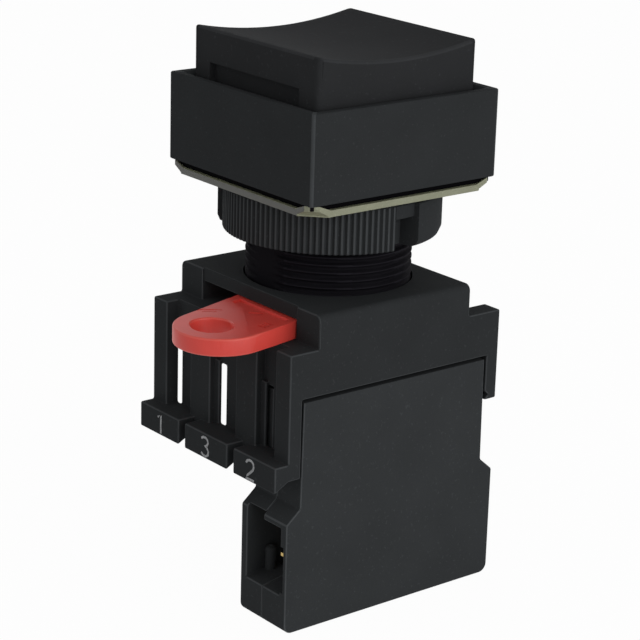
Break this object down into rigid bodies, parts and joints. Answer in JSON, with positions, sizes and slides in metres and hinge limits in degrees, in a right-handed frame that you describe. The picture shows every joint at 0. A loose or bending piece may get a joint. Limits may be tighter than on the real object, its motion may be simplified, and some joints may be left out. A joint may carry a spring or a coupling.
{
  "type": "pushbutton switch",
  "caption": "Square-headed panel pushbutton with dished cap, threaded barrel, lock ring, collar with red locking lever and a contact block in a latch slot.",
  "frame": {"origin": "centre of the barrel on the front face of the panel, the underside of the gasket", "axes": "+Z along the barrel towards the button, -Y towards the locking lever and the numbered latch pads, +X towards the side that holds the contact block"},
  "size_m": [0.03, 0.0447, 0.0737],
  "materials": {
    "black_plastic": "fine matte moulded black",
    "cap_plastic": "satin moulded black",
    "red_plastic": "satin red acetal",
    "gasket_sheet": "pale yellow translucent sheet",
    "seal_rubber": "smooth black rubber",
    "white_plastic": "natural acetal",
    "spring_steel": "drawn spring wire",
    "plated_steel": "zinc plated",
    "brass": "stamped brass strip",
    "silver": "silver contact rivet"
  },
  "bodies": {
    "housing": {"bezel": "black_plastic", "panel_gasket": "gasket_sheet", "threaded_barrel": "black_plastic", "plunger_seal": "seal_rubber", "return_spring": "spring_steel", "mounting_collar": "black_plastic", "block_case_left": "black_plastic", "block_case_right": "black_plastic", "carrier_spring": "spring_steel", "fixed_contact_tips": "silver", "terminal_front": "brass", "terminal_back": "brass"},
    "button": {"button_cap": "cap_plastic", "plunger": "white_plastic", "plunger_clip": "spring_steel"},
    "carrier": {"contact_plunger": "white_plastic", "contact_spring": "spring_steel"},
    "bridge": {"contact_bridge": "brass", "moving_contact_tips": "silver"},
    "lever": {"lock_lever": "red_plastic"},
    "ring": {"lock_ring": "black_plastic"},
    "clamp_front": {"clamp_washer_front": "plated_steel", "terminal_screw_front": "plated_steel"},
    "clamp_back": {"clamp_washer_back": "plated_steel", "terminal_screw_back": "plated_steel"}
  },
  "joints": [
    {"name": "button_press", "type": "slide", "parent": "housing", "child": "button", "axis": [0, 0, -1], "range_m": [0, 0.0035], "stiffness_N_per_m": 500, "springref_m": -0.004, "deforming": ["return_spring"]},
    {"name": "carrier_press", "type": "slide", "parent": "housing", "child": "carrier", "axis": [0, 0, -1], "range_m": [0, 0.0035], "stiffness_N_per_m": 150, "springref_m": -0.004, "deforming": ["carrier_spring"]},
    {"name": "bridge_lift", "type": "slide", "parent": "carrier", "child": "bridge", "axis": [0, 0, 1], "range_m": [0, 0.00125], "stiffness_N_per_m": 200, "springref_m": -0.002, "deforming": ["contact_spring"]},
    {"name": "lever_swing", "type": "hinge", "parent": "housing", "child": "lever", "pos_m": [0, 0, -0.01537], "axis": [0, 0, 1], "range_deg": [-30, 0]},
    {"name": "ring_travel", "type": "slide", "parent": "housing", "child": "ring", "axis": [0, 0, -1], "range_m": [0, 0.0055]},
    {"name": "clamp_front_travel", "type": "slide", "parent": "housing", "child": "clamp_front", "axis": [0, 0, 1], "range_m": [0, 0.002]},
    {"name": "clamp_back_travel", "type": "slide", "parent": "housing", "child": "clamp_back", "axis": [0, 0, 1], "range_m": [0, 0.002]}
  ],
  "couplings": [
    {"joint": "carrier_press", "follows": "button_press", "ratio": 1},
    {"joint": "bridge_lift", "follows": "button_press", "ratio": 0.357}
  ]
}
